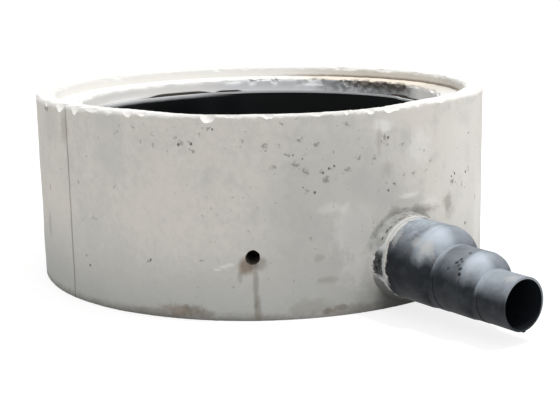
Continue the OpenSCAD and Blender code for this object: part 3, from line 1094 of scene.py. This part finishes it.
def air_hole_cutters(look, tree, material):
    """Small rounded lumps set in the wall, most of them at its pits and specks."""
    rows = lathe([(RING_R, z) for z in np.linspace(0.03, RING_H - 0.03, 44)], circle(360))
    turns = np.degrees(np.arctan2(rows[..., 1], rows[..., 0]))
    density = np.full(turns.shape, 0.008)
    for degrees, height, radius in WALL_SPOTS:
        across = np.radians(turns - degrees) * RING_R
        density += np.exp(-(across ** 2 + (rows[..., 2] - height) ** 2) / (2 * radius) ** 2)
    piece = density_patch("air_holes", rows, density, material)
    scatter(piece, tree, number=look.hole_density, least=look.hole_least, most=look.hole_most,
            flatness=0.7, unevenness=0.0015, seed=4, finish=material)
    return piece


def ledge_bite_cutters(look, tree, material):
    """Lumps along the ledge's inner edge: many where it is broken, none where it is sound, few elsewhere."""
    corner = ((0.001, 0.012), (0.002, 0.004), (0.010, 0))
    rows = lathe([(BORE_R + out, LEDGE_Z - down) for out, down in corner], circle(240))
    turns = np.degrees(np.arctan2(rows[..., 1], rows[..., 0]))
    broken = np.exp(-((turns - look.broken_at) / look.broken_span) ** 4)
    sound = np.abs(turns - look.sound_at) < look.sound_span
    density = np.where(sound, 0, 0.01) + 0.99 * broken
    piece = density_patch("ledge_bites", rows, density, material)
    scatter(piece, tree, number=look.bite_density, least=look.bite_least, most=look.bite_most,
            flatness=0.8, unevenness=0.006, seed=9, finish=material)
    return piece


class MANHOLE_OT_concrete(bpy.types.Operator):
    """Casts the worn concrete ring with its seams, pin hole, packed socket, chips and air holes"""
    bl_idname = "manhole.concrete"
    bl_label = "Concrete Ring"

    def execute(self, context):
        look = context.scene.manhole_concrete
        tub = context.scene.manhole_liner
        skin = concrete_material(look)
        # Painted shade and grime inside the air holes and the pin hole.
        pits = grime_and_shade_material("air_hole", look.dirt, look.damp)
        depths = grime_and_shade_material("pin_hole", look.shadow, look.dirt)
        tree = scatter_tree()
        ring = closed_solid("ring_concrete", skin, ring_rows(look, tub))
        combine(ring, closed_solid("packing", skin, packing_rows(look, tub)), "UNION")
        combine(ring, self.way(tub, skin), "DIFFERENCE")
        combine(ring, self.pin_hole(depths), "DIFFERENCE")
        combine(ring, self.chips(look, chip_material(look)), "DIFFERENCE")
        combine(ring, ledge_bite_cutters(look, tree, skin), "DIFFERENCE")
        combine(ring, air_hole_cutters(look, tree, pits), "DIFFERENCE")
        shade(ring, 38)
        hand_over(ring, "concrete", "concrete_ring")
        return {"FINISHED"}

    def way(self, tub, material):
        """The liner's channel and socket as a cutter, with a clearance."""
        socket_r = ROOT_R + 2 * FIT_GAP + tub.socket_wall
        end_r = socket_r - tub.socket_taper
        past = LINER_HIGH.x + 0.05
        tube_end = [(TAPER_FROM, socket_r), (LINER_HIGH.x, end_r), (past, end_r)]
        return channel_bar("way", socket_r, tub.wall + FIT_GAP, tube_end, tub, material)

    def chips(self, look, material):
        """The chips knocked off the top edge, as one solid."""
        piece = None
        for seed, (degrees, wide, drop) in enumerate(TOP_CHIPS, 30):
            shift = CHIP_SHIFT * drop
            sizes = (CHIP_BALL * drop, CHIP_WIDTH * wide, CHIP_BALL * drop)
            edge = RING_H - rim_drop(degrees, look) / 3
            rows = lump(degrees, RING_R + shift, edge + shift, sizes, seed)
            made = closed_solid("chip", material, rows)
            if piece:
                combine(piece, made, "UNION")
            else:
                piece = made
        return piece

    def pin_hole(self, material):
        """The pin hole's cutter, flared and uneven where it breaks the wall."""
        mouth = RING_R
        profile = [(mouth - HOLE_DEPTH, 0), (mouth - HOLE_DEPTH, HOLE_R), (mouth - 0.03, HOLE_R)]
        profile += [(mouth - 0.012, HOLE_R + 0.0003), (mouth - 0.005, HOLE_R + 0.0010)]
        profile += [(mouth + 0.004, HOLE_R + 0.0025), (mouth + 0.02, HOLE_R + 0.003), (mouth + 0.02, 0)]
        rows = lathe([(r, x) for x, r in profile], circle(48))
        uneven = field(rows, 90, 12) * 0.0020 * (rows[..., 2] > mouth - 0.02)
        rows[..., :2] *= (1 + uneven / HOLE_R)[..., None]
        rows = along_x(rows, HOLE_PLACE[2])
        spin = np.array(Matrix.Rotation(HOLE_TURN, 3, "Z"))
        return closed_solid("pin_hole", material, rows @ spin.T)


class MANHOLE_OT_liner(bpy.types.Operator):
    """Moulds the liner: wall with a slightly warped lip, benching, channel and socket"""
    bl_idname = "manhole.liner"
    bl_label = "Plastic Liner"

    def execute(self, context):
        look = context.scene.manhole_liner
        skin = liner_material(look)
        socket_r = ROOT_R + FIT_GAP + look.socket_wall
        channel_r = ROOT_R - context.scene.manhole_stub.wall
        liner = self.tub("liner_shell", look.wall, LINER_HIGH.z, look, skin)
        socket_end = [(TAPER_FROM, socket_r), (LINER_HIGH.x, socket_r - look.socket_taper)]
        combine(liner, channel_bar("channel", socket_r, look.wall, socket_end, look, skin), "UNION")
        space = self.tub("space", 0, LINER_HIGH.z + 0.01, look, skin)
        combine(space, channel_bar("water", channel_r, 0, [(BORE_R, channel_r)], look, skin), "UNION")
        combine(liner, space, "DIFFERENCE")
        socket = plain_profile(BORE_R, RING_R * 1.2, ROOT_R + FIT_GAP)
        combine(liner, tube_bar("socket", socket, TUBE_Z, skin), "DIFFERENCE")
        self.lean(liner, look)
        shade(liner, 30)
        hand_over(liner, "liner_plastic", "liner")
        return {"FINISHED"}

    def tub(self, name, grow, top, look, material):
        """The round tub as a solid, grown outwards by a wall's thickness."""
        profile = bench_section(grow, look)
        radius, foot = profile[-1]
        profile += [(radius, z) for z in np.linspace(foot, LINER_HIGH.z - look.warp_drop, 4)[1:]]
        profile += [(radius, z) for z in np.linspace(LINER_HIGH.z - look.warp_drop, top, 12)[1:]]
        profile += [(0, top)]
        return closed_solid(name, material, lathe(profile, circle(320)))

    def lean(self, liner, look):
        """Leans the lip in off the concrete here and there."""
        mesh = liner.data
        places = np.empty(len(mesh.vertices) * 3)
        mesh.vertices.foreach_get("co", places)
        places = places.reshape(-1, 3)
        radius = np.hypot(places[:, 0], places[:, 1])
        turns = np.degrees(np.arctan2(places[:, 1], places[:, 0]))
        amount = np.full(len(places), 0.001)
        for middle, span, lean in LIP_LEANS:
            away = np.abs((turns - middle + 180) % 360 - 180) / span
            amount = np.maximum(amount, lean * (1 - rise(away, 0.3, 1)))
        raised = rise(places[:, 2], LINER_HIGH.z - look.warp_drop, LINER_HIGH.z)
        places[:, :2] *= (1 - amount * raised / np.maximum(radius, 0.01))[:, None]
        mesh.vertices.foreach_set("co", places.ravel())
        mesh.update()


class MANHOLE_OT_stub(bpy.types.Operator):
    """Moulds the stub: three steps with rounded shoulders, their undersides in line"""
    bl_idname = "manhole.stub"
    bl_label = "Stepped Stub"

    def execute(self, context):
        look = context.scene.manhole_stub
        stub = self.bars("stub_shell", 0, 0, look, stub_material(look))
        combine(stub, self.bars("bore", look.wall, 0.002, look, inside_material(look)), "DIFFERENCE")
        burr = lump(0.2, STUB_HIGH.x - 0.001, STUB_FOOT + 0.004, (0.003, 0.006, 0.003), 70)
        combine(stub, closed_solid("burr", stub.data.materials[0], burr), "UNION")
        shade(stub, 32)
        hand_over(stub, "stub_plastic", "stub")
        return {"FINISHED"}

    def bars(self, name, inset, extra, look, material):
        """The whole stub as one solid, taken in by a wall's thickness for its inside."""
        root_to, middle_from, middle_to, last_from = stub_stations(look)
        rise_by = look.invert_step
        middle_foot = STUB_FOOT + 2 * rise_by + look.stop
        last_foot = middle_foot + 2 * rise_by + look.stop
        piece = self.step(name, BORE_R - extra, root_to, ROOT_R, STUB_FOOT, inset, look, material)
        last = plain_profile(middle_to - look.lap, STUB_HIGH.x + extra, LAST_R - inset)
        others = [
            self.shoulder(root_to, middle_from, ROOT_R, STUB_FOOT + rise_by, inset, look, material),
            self.step("step", root_to - look.lap, middle_to, look.middle_r, middle_foot, inset, look,
                      material),
            self.shoulder(middle_to, last_from, look.middle_r, middle_foot + rise_by, inset, look, material),
            tube_bar("last", last, last_foot + LAST_R, material),
        ]
        if not inset:
            stops = ((root_to, middle_from, look.middle_r, middle_foot),
                     (middle_to, last_from, LAST_R, last_foot))
            for start, end, radius, foot in stops:
                profile = plain_profile(start, end, radius + look.stop)
                others.append(tube_bar("stop", profile, foot + radius, material))
        for other in others:
            combine(piece, other, "UNION")
        return piece

    def rounded(self, start, end, radius, round_len, round_deep):
        """Profile of a bar whose far edge is rounded to a length and a depth."""
        profile = [(start, 0), (start, radius)]
        for angle in np.radians(np.arange(0, 91, 7.5)):
            back = round_len * (1 - math.sin(angle))
            drop = round_deep * (1 - math.cos(angle))
            profile.append((end - back, radius - drop))
        return profile + [(end, 0)]

    def step(self, name, start, end, radius, foot, inset, look, material):
        """One straight step."""
        profile = self.rounded(start, end - inset, radius - inset, look.step_round, look.step_round)
        return tube_bar(name, profile, foot + radius, material)

    def shoulder(self, start, end, step_r, foot, inset, look, material):
        """The rounded shoulder after a step, a little smaller than the step."""
        radius = step_r - look.cut_step
        round_len = end - start - look.shoulder_flat
        profile = self.rounded(start - look.lap, end - inset, radius - inset, round_len, look.shoulder_drop)
        return tube_bar("shoulder", profile, foot + radius, material)


class MANHOLE_OT_stage(bpy.types.Operator):
    """Sets the camera, the light and the pale floor"""
    bl_idname = "manhole.stage"
    bl_label = "Stage"

    def execute(self, context):
        look = context.scene.manhole_stage
        context.scene.view_settings.view_transform = "Standard"
        self.camera(context.scene, look)
        self.key(context.scene, look)
        self.sky(context.scene, look)
        self.floor(look)
        return {"FINISHED"}

    def camera(self, scene, look):
        """A camera at the photograph's place, angle and focal length."""
        lens = bpy.data.cameras.new("camera")
        lens.sensor_fit = "HORIZONTAL"
        lens.lens = lens.sensor_width * look.focal / FRAME_W
        eye = bpy.data.objects.new("camera", lens)
        scene.collection.objects.link(eye)
        turned = Matrix.Rotation(look.azimuth + math.pi / 2 - look.heading, 4, "Z")
        tilted = Matrix.Rotation(math.pi / 2 - look.pitch, 4, "X")
        rolled = Matrix.Rotation(look.roll, 4, "Z")
        place = Matrix.Translation((look.distance * math.cos(look.azimuth),
                                    look.distance * math.sin(look.azimuth), look.height))
        eye.matrix_world = place @ turned @ tilted @ rolled
        scene.camera = eye

    def key(self, scene, look):
        """One soft light, high on the camera's right."""
        lamp = bpy.data.lights.new("key", "AREA")
        lamp.shape = "DISK"
        lamp.size = look.key_size
        lamp.energy = look.key_power
        light = bpy.data.objects.new("key", lamp)
        scene.collection.objects.link(light)
        around = look.azimuth + look.key_azimuth
        level = math.cos(look.key_height)
        toward = Vector((math.cos(around) * level, math.sin(around) * level, math.sin(look.key_height)))
        light.location = toward * look.key_distance
        light.rotation_euler = toward.to_track_quat("Z", "Y").to_euler()

    def sky(self, scene, look):
        """Plain white surroundings, pure white where the camera sees them."""
        world = bpy.data.worlds.new("surroundings")
        scene.world = world
        world.use_nodes = True
        back = world.node_tree.nodes["Background"]
        back.inputs["Color"].default_value = (1, 1, 1, 1)
        seen = seen_directly(world.node_tree)
        strength = seen * (1 - look.sky) + look.sky
        world.node_tree.links.new(strength.socket, back.inputs["Strength"])

    def floor(self, look):
        """A plain pale floor that keeps a light shadow."""
        material = bpy.data.materials.new("pale_floor")
        material.use_nodes = True
        tree = material.node_tree
        tree.nodes.clear()
        seen = seen_directly(tree)
        pale = seen.node("ShaderNodeBsdfDiffuse", None, {"Color": (*look.floor, 1)})
        dim = seen.node("ShaderNodeBsdfDiffuse", None, {"Color": (*look.floor_seen, 1)})
        glow = seen.node("ShaderNodeEmission", None, {"Color": (1, 1, 1, 1), "Strength": look.floor_glow})
        shown = seen.node("ShaderNodeAddShader", None, {0: dim, 1: glow})
        mixed = seen.node("ShaderNodeMixShader", None, {"Fac": seen, 1: pale, 2: shown})
        tree.links.new(mixed.socket, tree.nodes.new("ShaderNodeOutputMaterial").inputs["Surface"])
        half = look.floor_half
        corners = [(-half, -half, 0), (half, -half, 0), (half, half, 0), (-half, half, 0)]
        floor = mesh_object("floor", corners, [(0, 1, 2, 3)], material)


def seen_directly(tree):
    """1 for rays from the camera, a mirror or glass, and 0 for the light that falls on things."""
    path = Wire(tree, tree.nodes.new("ShaderNodeLightPath").outputs["Is Camera Ray"])
    return most(path, path.other("Is Glossy Ray"), path.other("Is Transmission Ray"))


class MANHOLE_PT_panel(bpy.types.Panel):
    """Lists the pieces of the manhole base"""
    bl_idname = "MANHOLE_PT_panel"
    bl_label = "Manhole Base"
    bl_space_type = "VIEW_3D"
    bl_region_type = "UI"
    bl_category = "Manhole"

    def draw(self, context):
        for operator in OPERATORS:
            self.layout.operator(operator.bl_idname)


SETTINGS = {
    "manhole_concrete": ConcreteSettings,
    "manhole_liner": LinerSettings,
    "manhole_stub": StubSettings,
    "manhole_stage": StageSettings,
}
OPERATORS = (MANHOLE_OT_stage, MANHOLE_OT_concrete, MANHOLE_OT_liner, MANHOLE_OT_stub)


def register():
    for name, group in SETTINGS.items():
        bpy.utils.register_class(group)
        setattr(bpy.types.Scene, name, PointerProperty(type=group))
    for operator in OPERATORS:
        bpy.utils.register_class(operator)
    bpy.utils.register_class(MANHOLE_PT_panel)


def unregister():
    bpy.utils.unregister_class(MANHOLE_PT_panel)
    for operator in reversed(OPERATORS):
        bpy.utils.unregister_class(operator)
    for name, group in SETTINGS.items():
        delattr(bpy.types.Scene, name)
        bpy.utils.unregister_class(group)


def main():
    register()
    bpy.ops.manhole.stage()
    bpy.ops.manhole.concrete()
    bpy.ops.manhole.liner()
    bpy.ops.manhole.stub()


if __name__ == "__main__":
    main()
